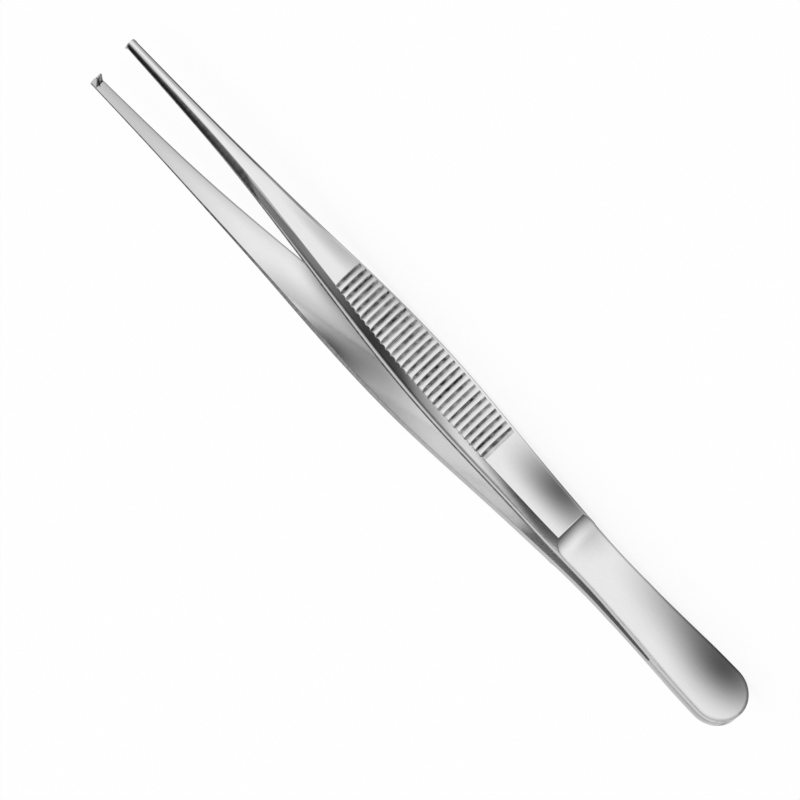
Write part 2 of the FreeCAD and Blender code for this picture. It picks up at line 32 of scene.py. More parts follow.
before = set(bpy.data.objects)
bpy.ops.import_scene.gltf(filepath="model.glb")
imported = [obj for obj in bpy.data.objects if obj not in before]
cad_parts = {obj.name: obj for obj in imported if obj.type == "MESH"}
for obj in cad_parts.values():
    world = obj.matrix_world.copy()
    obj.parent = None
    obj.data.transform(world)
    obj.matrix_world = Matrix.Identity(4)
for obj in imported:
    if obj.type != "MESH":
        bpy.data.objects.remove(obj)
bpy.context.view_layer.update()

MILLIMETRE = 0.001
LENGTH = 145.0
HALF_WIDTH = 5.175

# Cross-sections of the forging: distance from the tip, width of the inner face, width of the outer
# face, depth, depth of the upright edge, radius of the flank and radius of the outer face.
SECTIONS = np.array([
    (0.0, 1.9, 0.7, 0.88, 0.1, 0.95, 0.95),
    (13.635, 2.68, 0.95, 1.18, 0.14, 1.3, 1.4),
    (27.775, 4.05, 2.0, 1.42, 0.5, 2.4, 4.0),
    (41.915, 6.15, 4.1, 1.85, 0.95, 6.0, 16.0),
    (50.5, 7.65, 5.75, 2.3, 1.2, 12.0, 40.0),
    (73.138, 10.35, 7.85, 2.6, 1.3, 12.0, 60.0),
    (93.62, 9.25, 6.9, 2.55, 1.3, 12.0, 60.0),
    (104.4, 8.65, 6.15, 2.5, 1.3, 12.0, 60.0),
    (112.52, 8.15, 5.6, 2.4, 1.3, 12.0, 60.0),
    (124.7, 9.0, 6.4, 2.4, 1.35, 12.0, 60.0),
    (139.722, 10.2, 7.6, 2.4, 1.35, 12.0, 60.0),
    (145.0, 10.2, 7.6, 2.4, 1.35, 12.0, 60.0),
])
GRIP_SECTION = 4  # where the bow of the grooves starts

# Side profile of the inner face: distance from the tip and half of the gap, at the tip, at the two
# bends and in front of the weld, and how far each bend reaches to both sides.
INNER_LINE = np.array([(0.0, 8.55), (24.5, 7.81), (101.7, 1.14), (128.6, 0.25)])
INNER_BENDS = (7.0, 4.0)
RUNS_END = 120.0
WELD_FRONT = 128.6

# Side profile of the outer face of the leaf, and the cove that rises from it to the shoulder.
LEAF_LINE = np.array([(80.0, 2.938), (128.6, 1.33), (145.0, 1.19)])
LEAF_BEND = 2.4
COVE_START = 103.6
COVE_FOOT = 108.0
COVE_RADIUS = 5.2

BUTT_RADIUS = 5.1
BUTT_STEPS = 24
TIP_HALF = 0.95
TIP_RADIUS = 0.55

# Grooves of the finger grip, spaced round a shallow bow, with the rounding of their bottoms. They get
# shallower by the run-out, which starts inside the border of the outer face.
GROOVES = 29
GROOVE_START = 51.0
GROOVE_PITCH = 1.273
GROOVE_DEPTH = 0.3
GROOVE_SLOPE = 0.968
GROOVE_BOTTOM = 0.03
GROOVE_DROP = 0.01
GROOVE_RUNOUT = 0.6
RUNOUT_START = 0.8
RUNOUT_WIDTH = 0.7
BOW_RADIUS = 1290.0
BOW_TILT = math.radians(3.63)

# Teeth at the tips: the zone that they stand in, the relief under the middle tooth, the notch
# between the outer teeth, the span, point, height and root of each tooth, and what they share: where
# foot and point are from the front, how square they are, and how dark the painted shade on their rear
# sides is.
TOOTH_ZONE = 1.4
RELIEF = 0.55
NOTCH_HALF = 0.1
NOTCH_DEPTH = 0.45
MIDDLE_TOOTH = {"span": (-0.25, 0.25), "point": 0.0, "height": 2.3, "root": 0.67}
UPPER_TOOTH = {"span": (0.1, 0.89), "point": 0.55, "height": 1.85, "root": 0.12}
LOWER_TOOTH = {"span": (-0.89, -0.1), "point": -0.55, "height": 1.85, "root": 0.12}
TOOTH_FRONT = 0.03
TOOTH_POINT = (0.1, 0.34)
TOOTH_POINT_HALF = 0.06
TOOTH_SQUARE = 0.25
TOOTH_SHADE = 0.85

# How far the rounding of the corners reaches: beside the inner face and along the outer one, how much
# further along the grooves and along the jaw, and at the foot of the flank. The blend rounds the
# corner where one surface cuts another.
EDGE_REACH = 0.07
GRIP_REACH = 0.06
JAW_REACH = 0.2
JAW_END = 30.0
FOOT_REACH = 0.26
BLEND = 0.03
LEAST_FLANK = 0.12
BEYOND_ALL = 99.0
TIP_BEVEL = np.array([(0.0, 0.2), (0.05, 0.1), (0.13, 0.04), (0.26, 0.0)])

# Where the parts of a half section start along it: the border of the inner face, the upright edge,
# the foot, the rounding at the outer face, and the outer face.
BORDER, UPRIGHT, FOOT, BRINK, CROWN = 5, 9, 21, 34, 39

# Painted shade across a groove, by distance from its bottom towards the butt, and behind the last one.
GROOVE_SHADE = np.array([(-0.32, 0.0), (-0.1, 0.8), (0.1, 0.85), (0.45, 0.26), (0.7, 0.0)])
SHADE_MIDDLE = 0.15
LAST_SHADE = (0.3, 0.8, 0.32)
GROOVE_SHADE_SEED = 7
GROOVE_SHADE_STRENGTH = (0.86, 1.08)

# Darkness of the painted shade line along the upper edge of each arm, by distance from the tip, and
# the heights over the inner face between which it fades out.
SINGLE_EDGE = np.array([
    (0.0, 0.7), (25.0, 0.65), (32.0, 0.75), (46.0, 0.92), (75.0, 0.92), (103.0, 0.8), (128.0, 0.85),
    (129.0, 0.3), (145.0, 0.4),
])
SINGLE_FADE = np.array([(26.0, 1.6, 2.0), (33.0, 0.45, 0.7)])
DOUBLE_EDGE = np.array([
    (0.0, 0.9), (30.0, 0.88), (45.0, 0.7), (62.0, 0.6), (80.0, 0.25), (105.0, 0.1), (145.0, 0.25),
])
DOUBLE_FADE = np.array([(0.0, 1.2, 1.6), (145.0, 1.2, 1.6)])
FADE_SCALE = np.array([(100.0, 1.0), (110.0, 0.5)])

# More marks by distance from the tip: painted shade along the foot of the flank and at the top of the
# cove, dull finish and painted shade of the inner face, and where jaw and leaf have shades of their own.
FOOT_LINE = np.array([(38.0, 0.0), (46.0, 0.65), (103.0, 0.65), (105.0, 0.2)])
COVE_SHADE = np.array([
    (104.42, 0.0), (104.52, 0.93), (104.75, 0.8), (105.4, 0.5), (106.2, 0.15), (106.8, 0.0),
])
DULL_AND_SHADE = np.array([(98.0, 0.0), (106.0, 0.5), (114.0, 1.0)])
JAW_PART = np.array([(38.0, 1.0), (46.0, 0.0)])
LEAF_PART = np.array([(104.5, 0.0), (106.5, 1.0)])

# Painted shade in the notch, along the border of the leaf, along the rim of the butt and on its wall, and
# of the side that looks down: everywhere, on the flank, on the inner border and on the leaf.
NOTCH_DARK = 0.97
LEAF_DARK = 0.7
RIM_DARK = 0.5
WALL_DARK = 0.75
UNDER_ALL, UNDER_FLANK, UNDER_BORDER, UNDER_LEAF = 0.05, 0.75, 0.45, 0.3
STEEP_START = math.radians(24)
STEEP_SPAN = math.radians(14)


def table(at, rows, column=1):
    """Value of a column of a table at each distance, as one value for each cross-section."""
    return np.interp(at, rows[:, 0], rows[:, column])[:, None]


def spline(at, knots, values):
    """Natural cubic spline through the knots: its second derivatives solve the three-term system that
    makes the slope continuous, and between two knots the curve is the cubic that they give."""
    gap = np.diff(knots)
    rise = np.diff(values) / gap
    system = np.eye(len(knots))
    right = np.zeros(len(knots))
    inner = np.arange(1, len(knots) - 1)
    system[inner, inner - 1] = gap[:-1]
    system[inner, inner] = 2 * (gap[:-1] + gap[1:])
    system[inner, inner + 1] = gap[1:]
    right[inner] = 6 * np.diff(rise)
    bend = np.linalg.solve(system, right)
    span = np.clip(np.searchsorted(knots, at) - 1, 0, len(gap) - 1)
    low = at - knots[span]
    high = knots[span + 1] - at
    width = gap[span]
    cubic = (bend[span] * high ** 3 + bend[span + 1] * low ** 3) / (6 * width)
    left = (values[span] / width - bend[span] * width / 6) * high
    return cubic + left + (values[span + 1] / width - bend[span + 1] * width / 6) * low


def bent_line(at, corners, reaches):
    """Height of a line with corners, where each corner is replaced by the parabola that starts and ends
    a reach away from it and is tangent to both sides."""
    height = np.interp(at, corners[:, 0], corners[:, 1])
    slopes = np.diff(corners[:, 1]) / np.diff(corners[:, 0])
    last = at > corners[-1, 0]
    height = np.where(last, corners[-1, 1] + slopes[-1] * (at - corners[-1, 0]), height)
    for corner, reach, before, after in zip(corners[1:-1], reaches, slopes[:-1], slopes[1:]):
        inside = np.clip(1 - np.abs(at - corner[0]) / reach, 0, 1)
        height = height + (after - before) * reach / 4 * inside ** 2
    return height


def lesser(one, other):
    """The lesser of two heights, with the corner between them rounded: half of their sum less half of
    the hypotenuse of their difference and the blend."""
    return 0.5 * (one + other - np.hypot(one - other, BLEND))


def inner_height(at):
    """Height of the inner face: the bent line in front of the weld, and none in the weld."""
    return np.where(at < WELD_FRONT, bent_line(at, INNER_LINE, INNER_BENDS), 0.0)


def run_height(at):
    """Height of the runs of the inner face, without the rounding of their bends."""
    return np.where(at < RUNS_END, np.interp(at, INNER_LINE[:, 0], INNER_LINE[:, 1]), 0.0)


def groove_places():
    """Distance from the tip, height and lean of the bottom of each groove, round the bow."""
    lean = BOW_TILT + np.arange(GROOVES) * GROOVE_PITCH / BOW_RADIUS
    first = run_height(np.array(GROOVE_START)) + SECTIONS[GRIP_SECTION, 3]
    at = GROOVE_START + BOW_RADIUS * (np.sin(lean) - math.sin(BOW_TILT))
    height = first + BOW_RADIUS * (np.cos(lean) - math.cos(BOW_TILT)) - GROOVE_DEPTH * np.cos(lean)
    return at, height, lean


def groove_height(at):
    """Height of the walls of the nearest groove: a V of the groove's slope that leans with the bow, with
    its bottom rounded as a hyperbola."""
    place, bottom, lean = groove_places()
    nearest = np.abs(at[:, None] - place[None, :]).argmin(1)
    away = at - place[nearest]
    slope = np.tan(math.atan(GROOVE_SLOPE) - np.sign(away) * lean[nearest])
    return bottom[nearest] + np.hypot(slope * away, GROOVE_BOTTOM) - GROOVE_DROP


def leaf_height(at):
    """Height of the outer face of the leaf, with the cove as a circle that is tangent to the leaf at
    its foot."""
    leaf = bent_line(at, LEAF_LINE, (LEAF_BEND,))
    slope = (LEAF_LINE[1, 1] - LEAF_LINE[0, 1]) / (LEAF_LINE[1, 0] - LEAF_LINE[0, 0])
    tilt = math.atan(slope)
    foot = LEAF_LINE[0, 1] + slope * (COVE_FOOT - LEAF_LINE[0, 0])
    centre = COVE_FOOT - COVE_RADIUS * math.sin(tilt)
    across = np.clip(COVE_RADIUS ** 2 - (at - centre) ** 2, 1.0, None)
    cove = foot + COVE_RADIUS * math.cos(tilt) - np.sqrt(across)
    return np.where(at < COVE_FOOT, cove, leaf)


def columns():
    """Distances from the tip of the cross-sections: close together at the tip, in the grooves, at the
    shoulder and in front of the weld, and wider apart elsewhere."""
    tip = TIP_RADIUS * (1 - np.cos(np.linspace(0.1, math.pi / 2, 9)))
    pitch = np.array([-0.62, -0.5, -0.42, -0.37, -0.34, -0.31, -0.28, -0.22, -0.12, -0.05, 0.0,
                      0.05, 0.12, 0.22, 0.28, 0.31, 0.34, 0.37, 0.42, 0.5])
    place = groove_places()[0]
    grip = (place[:, None] + pitch[None, :]).ravel()
    return np.concatenate([
        [0.0, 0.012, 0.05],
        tip[tip > 0.06],
        np.linspace(0.62, 1.38, 8),
        [1.398, 1.402],
        np.linspace(1.7, grip[0] - 0.35, 122),
        grip,
        np.linspace(grip[-1] + 0.1, grip[-1] + 1.0, 6),
        np.linspace(grip[-1] + 1.4, 103.9, 36),
        np.linspace(104.0, 104.9, 19),
        np.linspace(105.1, 110.0, 32),
        np.linspace(110.4, 128.4, 52),
        [128.55, 128.597, 128.603, 128.65],
        np.linspace(128.9, LENGTH - BUTT_RADIUS, 30),
    ])


def rounded(first, at, last, count):
    """Points of the quadratic Bezier curve from first to last whose control point is the corner."""
    share = np.linspace(0, 1, count)[None, :, None]
    start, end = (1 - share) ** 2 * first[:, None], share ** 2 * last[:, None]
    return start + 2 * share * (1 - share) * at[:, None] + end


def straight(first, last, shares):
    """Points at some shares of the way from first to last."""
    share = np.asarray(shares)[None, :, None]
    return first[:, None] + (last - first)[:, None] * share


def pair(across, height):
    """Points from their distances across and their heights."""
    return np.stack(np.broadcast_arrays(across, height), -1)


def forging(at):
    """The forging at each distance, by splines through its sections: half of the width, width of the
    outer face, heights of the foot of the flank and of the border of the outer face, and how far the
    flank and the outer face bulge, as the sagittas of their circles."""
    knots, widths, crests, depths, edges, flank_radii, crown_radii = SECTIONS.T
    faces = run_height(knots)
    chords = np.hypot((widths - crests) / 2, depths - edges)
    flank_rises = flank_radii - np.sqrt(flank_radii ** 2 - chords ** 2 / 4)
    crown_rises = crown_radii - np.sqrt(crown_radii ** 2 - crests ** 2 / 4)
    rows = (widths, crests, faces, edges, faces + depths, flank_rises, crown_rises)
    width, crest, face, edge, top, flank_rise, crown_rise = (spline(at, knots, row) for row in rows)
    return width / 2, crest, face + edge, top, flank_rise, crown_rise


def surface_cuts(at, top):
    """Where the grooves are, their heights, and the height at which the flank is cut off: by the grooves,
    shallower by their run-out, or by the cove and the leaf."""
    grip_middle = GROOVE_START + GROOVE_PITCH * (GROOVES - 1) / 2
    grip = np.abs(at - grip_middle) < GROOVE_PITCH * (GROOVES + 1) / 2
    groove = groove_height(at)
    cut = np.where(grip, groove + GROOVE_RUNOUT * np.clip(top - groove, 0, None), BEYOND_ALL)
    return grip, groove, np.where(at > COVE_START, leaf_height(at), cut)


def half_sections(at, inner, notch):
    """Half cross-sections, from the middle of the inner face to the middle of the outer one.

    The flank is a parabola over its chord. It ends where it meets the lowest of the outer face, the
    grooves and the leaf. Each corner is rounded over its reach."""
    half, crest, foot_height, top, flank_rise, crown_rise = forging(at)
    grip, groove, cut = surface_cuts(at, top)
    foot = pair(half, foot_height)
    chord = pair(crest / 2, top) - foot
    outward = chord[:, ::-1] * (1, -1) / np.linalg.norm(chord, axis=1)[:, None]
    bow = 4 * flank_rise[:, None] * np.abs(outward)

    def flank(share):
        curve = bow[:, None] * (share * (1 - share))[..., None]
        return foot[:, None] + chord[:, None] * share[..., None] + curve

    end = lesser(top, cut)
    slope = chord[:, 1] + bow[:, 1]
    root = np.sqrt(np.clip(slope ** 2 - 4 * bow[:, 1] * (end - foot[:, 1]), 0, None))
    reached = np.clip(2 * (end - foot[:, 1]) / (slope + root), 0, 1)
    brink = flank(reached[:, None])[:, 0]
    brink[:, 1] = end
    lowest = np.minimum(foot[:, 1], end - LEAST_FLANK)
    start = pair(half, lowest)
    leafy = (foot[:, 1] > end - LEAST_FLANK)[:, None, None]

    def side(share):
        level = start[:, None] + (brink - start)[:, None] * share[..., None]
        return np.where(leafy, level, flank(reached[:, None] * share))

    length = np.maximum(np.linalg.norm(brink - start, axis=1), 0.2)
    soft = EDGE_REACH + GRIP_REACH * grip + JAW_REACH * np.clip(1 - at / JAW_END, 0, 1)
    near = np.minimum(soft / length, 0.2)
    foot_reach = np.minimum(FOOT_REACH, 0.35 * (lowest - inner))
    foot_near = np.minimum(foot_reach / length, 0.3)
    reach = np.minimum(0.5 * EDGE_REACH, 0.3 * (lowest - inner))
    base = pair(half, inner)
    base_in = pair(half - reach, inner)
    base_up = pair(half, inner + reach)
    start_down = pair(half, lowest - foot_reach)
    start_up = side(foot_near[:, None])[:, 0]
    brink_down = side(1 - near[:, None])[:, 0]
    ways = np.linspace(0.08, 0.92, 8)[None, :]
    middle = side(foot_near[:, None] + (1 - near - foot_near)[:, None] * ways)

    def outer(across):
        inside = np.clip(1 - (across / (crest / 2)) ** 2, 0, None)
        crown = top + crown_rise * inside
        margin = np.clip((across - crest / 2 + RUNOUT_START) / RUNOUT_WIDTH, 0, 1) ** 2
        deep = groove + GROOVE_RUNOUT * margin * np.clip(crown - groove, 0, None)
        return lesser(crown, np.where(grip, deep, cut))

    brink_in = brink[:, 0] * (1 - np.minimum(soft / brink[:, 0], 0.35))
    inwards = (0.97, 0.9, 0.78, 0.62, 0.45, 0.28, 0.13, 0.0)
    crown = np.stack([pair(brink_in * share, outer(brink_in * share)) for share in inwards], 1)
    floor = inner + notch
    floor_points = [pair(0.0, floor), pair(NOTCH_HALF - 0.002, floor), pair(NOTCH_HALF + 0.002, inner)]
    return np.concatenate([
        np.stack(floor_points, 1),
        straight(pair(NOTCH_HALF, inner), base_in, (0.35, 0.7)),
        straight(pair(half - np.minimum(0.4, 0.25 * half), inner), base_in, (0.0, 0.25, 0.5, 0.75)),
        rounded(base_in, base, base_up, 5),
        straight(base_up, start_down, (0.12, 0.25, 0.38, 0.5, 0.62, 0.75, 0.88)),
        rounded(start_down, start, start_up, 5),
        middle,
        rounded(brink_down, brink, pair(brink_in, outer(brink_in)), 5),
        crown,
    ], 1)


def peak(number, middle, reach):
    """1 at the point of a half section with the middle's number, and 0 from its reach on."""
    return np.clip(1 - np.abs(number - middle) / reach, 0, 1)


def painted_groove_shade(at):
    """Painted shade in the grooves: GROOVE_SHADE at the nearest groove, in a strength of its own for each
    groove, and a fainter band behind the last one."""
    place = groove_places()[0]
    nearest = np.abs(at[:, None] - place[None, :] - SHADE_MIDDLE).argmin(1)
    strength = np.random.default_rng(GROOVE_SHADE_SEED).uniform(*GROOVE_SHADE_STRENGTH, GROOVES)[nearest]
    groove_darkness = np.interp(at - place[nearest], GROOVE_SHADE[:, 0], GROOVE_SHADE[:, 1]) * strength
    start, end, depth = LAST_SHADE
    behind = at - place[-1]
    return np.maximum(groove_darkness, depth * ((behind > start) & (behind < end)))[:, None]


def edge_line(at, number, above, line, fade):
    """Dark line of painted shade on the upright edge, which fades out by the height above the inner face.
    A fainter painted shade line follows the foot of the flank and the outer border of the leaf, and the
    notch is painted dark."""
    low, high = table(at, fade, 1), table(at, fade, 2)
    upright = table(at, line) * np.clip((high - above) / (high - low), 0, 1)
    upright = upright * ((number >= UPRIGHT) & (number < BRINK))
    upright = np.maximum(upright, table(at, FOOT_LINE) * peak(number, FOOT + 3, 3.0))
    upright = np.maximum(upright, NOTCH_DARK * (at < TOOTH_ZONE)[:, None] * (number < 3))
    brink = LEAF_DARK * table(at, LEAF_PART) * peak(number, BRINK + 3, 2.5)
    return 1 - (1 - upright) * (1 - brink)


def lower_shade(at, number, half):
    """Shade of the side that looks down: over the steep part of the jaw's round, over the foot of the
    flank behind it, on the border of the inner face, and faint round the outer border of the leaf."""
    step = np.abs(np.diff(half, axis=1, prepend=half[:, :1]))
    lean = np.arctan2(step[..., 1], step[..., 0] + 1e-9)
    round_jaw = np.clip((lean - STEEP_START) / STEEP_SPAN, 0, 1)
    flank = np.clip((FOOT + 9 - number) / 5.0, 0, 1)
    jaw = table(at, JAW_PART)
    under = UNDER_ALL + UNDER_FLANK * (jaw * round_jaw + (1 - jaw) * flank)
    border = UNDER_BORDER * np.clip((number - BORDER) / 3.0, 0, 1)
    under = np.where(number >= UPRIGHT, under, border) * (number < CROWN - 1)
    leaf = UNDER_LEAF * table(at, LEAF_PART) * ((number >= BRINK) & (number < CROWN + 1))
    return np.maximum(under, leaf)


def half_marks(at, half, inner, line, fade):
    """Marks of the points of half sections: painted shade in the grooves, painted dark lines, dullness
    with painted shade where the leaves are close, and painted shade of the sides that look up and down."""
    number = np.arange(half.shape[1])[None, :]
    outside = number >= BRINK + 2
    above = (half[..., 1] - inner[:, None]) / table(at, FADE_SCALE)
    cove = table(at, COVE_SHADE) * outside
    return np.stack([
        painted_groove_shade(at) * outside,
        edge_line(at, number, above, line, fade),
        table(at, DULL_AND_SHADE) * (number < UPRIGHT + 3),
        cove,
        1 - (1 - cove) * (1 - lower_shade(at, number, half)),
    ], -1)


def whole_marks(marks, side):
    """Marks of whole loops, as painted shade: groove shade, line, dullness, and the shade of the side
    that a point is on. Round the butt the last ones go on, with a painted shade line along the rim of the
    outer face and a darker painted wall."""
    above, below = marks[..., (0, 1, 2, 3)], marks[..., (0, 1, 2, 4)]
    first, second = (above, below) if side > 0 else (below, above)
    marks = np.concatenate([first, second[:, -2:0:-1]], 1)
    butt = np.repeat(marks[-1:], BUTT_STEPS, 0)
    from_crown = np.abs(np.arange(butt.shape[1]) - butt.shape[1] // 2)
    rim_grows = np.sin(np.linspace(0, math.pi / 2, BUTT_STEPS))[:, None]
    wall_grows = np.clip(np.linspace(-1.2, 2.4, BUTT_STEPS), 0, 1)[:, None]
    rim = RIM_DARK * (np.abs(from_crown - 9.5) < 3.0) * rim_grows
    wall = WALL_DARK * (np.abs(from_crown - 25.0) < 13.0) * wall_grows
    butt[..., 1] = np.maximum(butt[..., 1], np.maximum(rim, wall))
    return np.concatenate([marks, butt])


def arm_points(at, half):
    """Cross-sections of an arm as whole loops: distance from the tip, across and height.

    At the tip they are cut to the plan outline, whose corners are quarter circles, and the front edge is
    bevelled. The butt is the last half section turned about its upright middle line."""
    loop = np.concatenate([half, half[:, -2:0:-1] * (-1, 1)], 1)
    corner = np.sqrt(np.clip(TIP_RADIUS ** 2 - (TIP_RADIUS - at) ** 2, 0, None))
    limit = np.where(at < TIP_RADIUS, TIP_HALF - TIP_RADIUS + corner, BEYOND_ALL)[:, None]
    across = np.clip(loop[..., 0], -limit, limit)
    height = loop[..., 1]
    highest, lowest = height.max(1, keepdims=True), height.min(1, keepdims=True)
    middle = (highest + lowest) / 2
    bevel = table(at, TIP_BEVEL)
    height = middle + (height - middle) * (1 - bevel / ((highest - lowest) / 2))
    across = across * (1 - bevel / TIP_HALF)
    distance = np.broadcast_to(at[:, None], across.shape)
    turn = np.linspace(0, math.pi / 2, BUTT_STEPS + 1)[1:, None]
    round_at = at[-1] + np.abs(across[-1]) * np.sin(turn)
    round_across = across[-1] * np.cos(turn)
    round_height = height[-1] * leaf_height(round_at) / leaf_height(at[-1:])
    return np.stack([
        np.concatenate([distance, round_at]),
        np.concatenate([across, round_across]),
        np.concatenate([height, round_height]),
    ], -1)


def loop_faces(rows, around, capped):
    """Quads between neighbouring loops of a grid, and strips across the loops that are capped."""
    row, place = np.meshgrid(np.arange(rows - 1), np.arange(around), indexing="ij")
    following = (place + 1) % around
    quads = np.stack([
        row * around + place, row * around + following,
        (row + 1) * around + following, (row + 1) * around + place,
    ], -1).reshape(-1, 4)
    place = np.arange(around // 2)
    strip = np.stack([place, place + 1, (around - place - 1) % around, (around - place) % around], -1)
    faces = [quads]
    if "first" in capped:
        faces.append(strip[:, ::-1])
    if "last" in capped:
        faces.append(strip + (rows - 1) * around)
    return np.concatenate(faces)


def tooth_points(face, span, point, height, root):
    """A tooth and its marks: rounded rectangles that taper from the root, which is sunk into the jaw, to
    the point, with a rounded end. The side that faces the butt is painted dark, as painted shade."""
    end = np.linspace(0, 1, 6)[1:]
    levels = np.concatenate([np.linspace(0, 0.9, 10), 0.9 + 0.1 * np.sin(end * math.pi / 2)])
    shrink = np.concatenate([np.ones(10), np.cos(end * 1.45)])
    turn = np.linspace(0, 2 * math.pi, 33)[:-1]
    round_x = np.sign(np.cos(turn)) * np.abs(np.cos(turn)) ** TOOTH_SQUARE
    round_z = np.sign(np.sin(turn)) * np.abs(np.sin(turn)) ** TOOTH_SQUARE

    def box(low, high, unit):
        start = low[0] + (high[0] - low[0]) * levels
        end = low[1] + (high[1] - low[1]) * levels
        return ((start + end) / 2)[:, None] + ((end - start) / 2 * shrink)[:, None] * unit[None, :]

    heights = (face + root - (height + root) * levels)[:, None]
    points = np.stack([
        box((TOOTH_FRONT, TOOTH_ZONE), TOOTH_POINT, round_x),
        box(span, (point - TOOTH_POINT_HALF, point + TOOTH_POINT_HALF), round_z),
        np.broadcast_to(heights, (len(levels), len(turn))),
    ], -1)
    marks = np.zeros((*points.shape[:2], 4))
    marks[..., 1] = TOOTH_SHADE * (np.cos(turn) > 0.8)
    return points, marks


def place_object(name, data):
    """A new object in the scene."""
    item = bpy.data.objects.new(name, data)
    bpy.context.scene.collection.objects.link(item)
    return item


def steel_mesh(name, parts, side):
    """One piece from grids of points with their marks, each closed at the ends that its part names.

    Distance, across and height become X, Z and Y, and the side is -1 for the arm turned half round. The
    marks become the attributes groove, edge, dull_and_shade and shade, all of them painted shade, the
    third one with a duller finish too. Points that coincide in the middle of the butt are merged."""
    vertices, faces, shades, start = [], [], [], 0
    for points, marks, capped in parts:
        rows, around = points.shape[:2]
        distance, across, height = points.reshape(-1, 3).T
        place = np.stack([LENGTH / 2 - distance, side * height, HALF_WIDTH + side * across], -1)
        vertices.append(place * MILLIMETRE)
        faces.append(loop_faces(rows, around, capped) + start)
        shades.append(marks.reshape(-1, 4))
        start += rows * around
    vertices, faces, shades = (np.concatenate(lists) for lists in (vertices, faces, shades))
    mesh = bpy.data.meshes.new(name)
    mesh.vertices.add(len(vertices))
    mesh.vertices.foreach_set("co", vertices.astype(np.float32).ravel())
    mesh.loops.add(faces.size)
    mesh.loops.foreach_set("vertex_index", faces.astype(np.int32).ravel())
    mesh.polygons.add(len(faces))
    mesh.polygons.foreach_set("loop_start", np.arange(0, faces.size, 4, dtype=np.int32))
    mesh.update(calc_edges=True)
    for label, shade in zip(("groove", "edge", "dull_and_shade", "shade"), shades.T):
        mark = mesh.attributes.new(label, "FLOAT", "POINT")
        mark.data.foreach_set("value", shade.astype(np.float32))
    merged = bmesh.new()
    merged.from_mesh(mesh)
    bmesh.ops.remove_doubles(merged, verts=merged.verts, dist=1e-8)
    bmesh.ops.recalc_face_normals(merged, faces=merged.faces)
    merged.to_mesh(mesh)
    merged.free()
    mesh.polygons.foreach_set("use_smooth", np.ones(len(mesh.polygons), bool))
    return place_object(name, mesh)


def make_arm(name, node, side, line, fade, teeth):
    """One arm with its teeth. The arm with one tooth has the relief, and the other one has the notch."""
    at = columns()
    inner = inner_height(at)
    face = float(inner_height(np.array([TOOTH_ZONE]))[0])
    in_zone = at < TOOTH_ZONE
    if len(teeth) == 1:
        relief = face + RELIEF * (1 - at / TOOTH_ZONE)
        inner = np.where(in_zone, np.maximum(inner, relief), inner)
        notch = np.zeros(len(at))
    else:
        notch = np.where(in_zone, NOTCH_DEPTH, 0.0)
    half = half_sections(at, inner, notch)
    marks = whole_marks(half_marks(at, half, inner, line, fade), side)
    parts = [(arm_points(at, half), marks, ("first",))]
    parts += [(*tooth_points(face, **tooth), ("first", "last")) for tooth in teeth]
    piece = steel_mesh(name, parts, side)
    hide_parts(node)
    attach(piece, "root")
    return piece


def ramp(nodes, stops):
    """A colour ramp of greys with smooth steps between the stops."""
    node = nodes.new("ShaderNodeValToRGB")
    node.color_ramp.interpolation = "EASE"
    elements = node.color_ramp.elements
    elements[0].position, elements[1].position = stops[0][0], stops[-1][0]
    for place, _ in stops[1:-1]:
        elements.new(place)
    for element, (_, value) in zip(elements, stops):
        element.color = (value, value, value, 1)
    return node


def node_group(name, inputs, outputs):
    """An empty shader node group with number and vector inputs and number outputs."""
    group = bpy.data.node_groups.new(name, "ShaderNodeTree")
    for label, kind in inputs:
        group.interface.new_socket(name=label, in_out="INPUT", socket_type=kind)
    for label in outputs:
        group.interface.new_socket(name=label, in_out="OUTPUT", socket_type="NodeSocketFloat")
    return group, group.nodes.new("NodeGroupInput"), group.nodes.new("NodeGroupOutput")


def math_node(tree, operation, *values):
    """A math node whose inputs are numbers or sockets."""
    node = tree.nodes.new("ShaderNodeMath")
    node.operation = operation
    for socket, value in zip(node.inputs, values):
        if isinstance(value, (int, float)):
            socket.default_value = value
        else:
            tree.links.new(value, socket)
    return node.outputs[0]


def vector_node(tree, operation, *values):
    """A vector math node whose inputs are sockets."""
    node = tree.nodes.new("ShaderNodeVectorMath")
    node.operation = operation
    for socket, value in zip(node.inputs, values):
        tree.links.new(value, socket)
    return node


def map_range(tree, value, source, target, smooth=False):
    """A clamped map range node between two spans."""
    node = tree.nodes.new("ShaderNodeMapRange")
    if smooth:
        node.interpolation_type = "SMOOTHSTEP"
    for label, number in zip(("From Min", "From Max", "To Min", "To Max"), (*source, *target)):
        node.inputs[label].default_value = number
    tree.links.new(value, node.inputs["Value"])
    return node.outputs["Result"]


def grey(tree, value):
    """A grey colour from a number."""
    colour = tree.nodes.new("ShaderNodeCombineColor")
    for label in ("Red", "Green", "Blue"):
        tree.links.new(value, colour.inputs[label])
    return colour.outputs[0]


def coordinate(tree, kind):
    """A texture coordinate of the kind."""
    return tree.nodes.new("ShaderNodeTexCoord").outputs[kind]


def attribute(tree, label):
    """A mark of the mesh."""
    node = tree.nodes.new("ShaderNodeAttribute")
    node.attribute_name = label
    return node.outputs["Fac"]


def new_material(name):
    """A material with nodes, and its node tree."""
    material = bpy.data.materials.new(name)
    material.use_nodes = True
    return material, material.node_tree


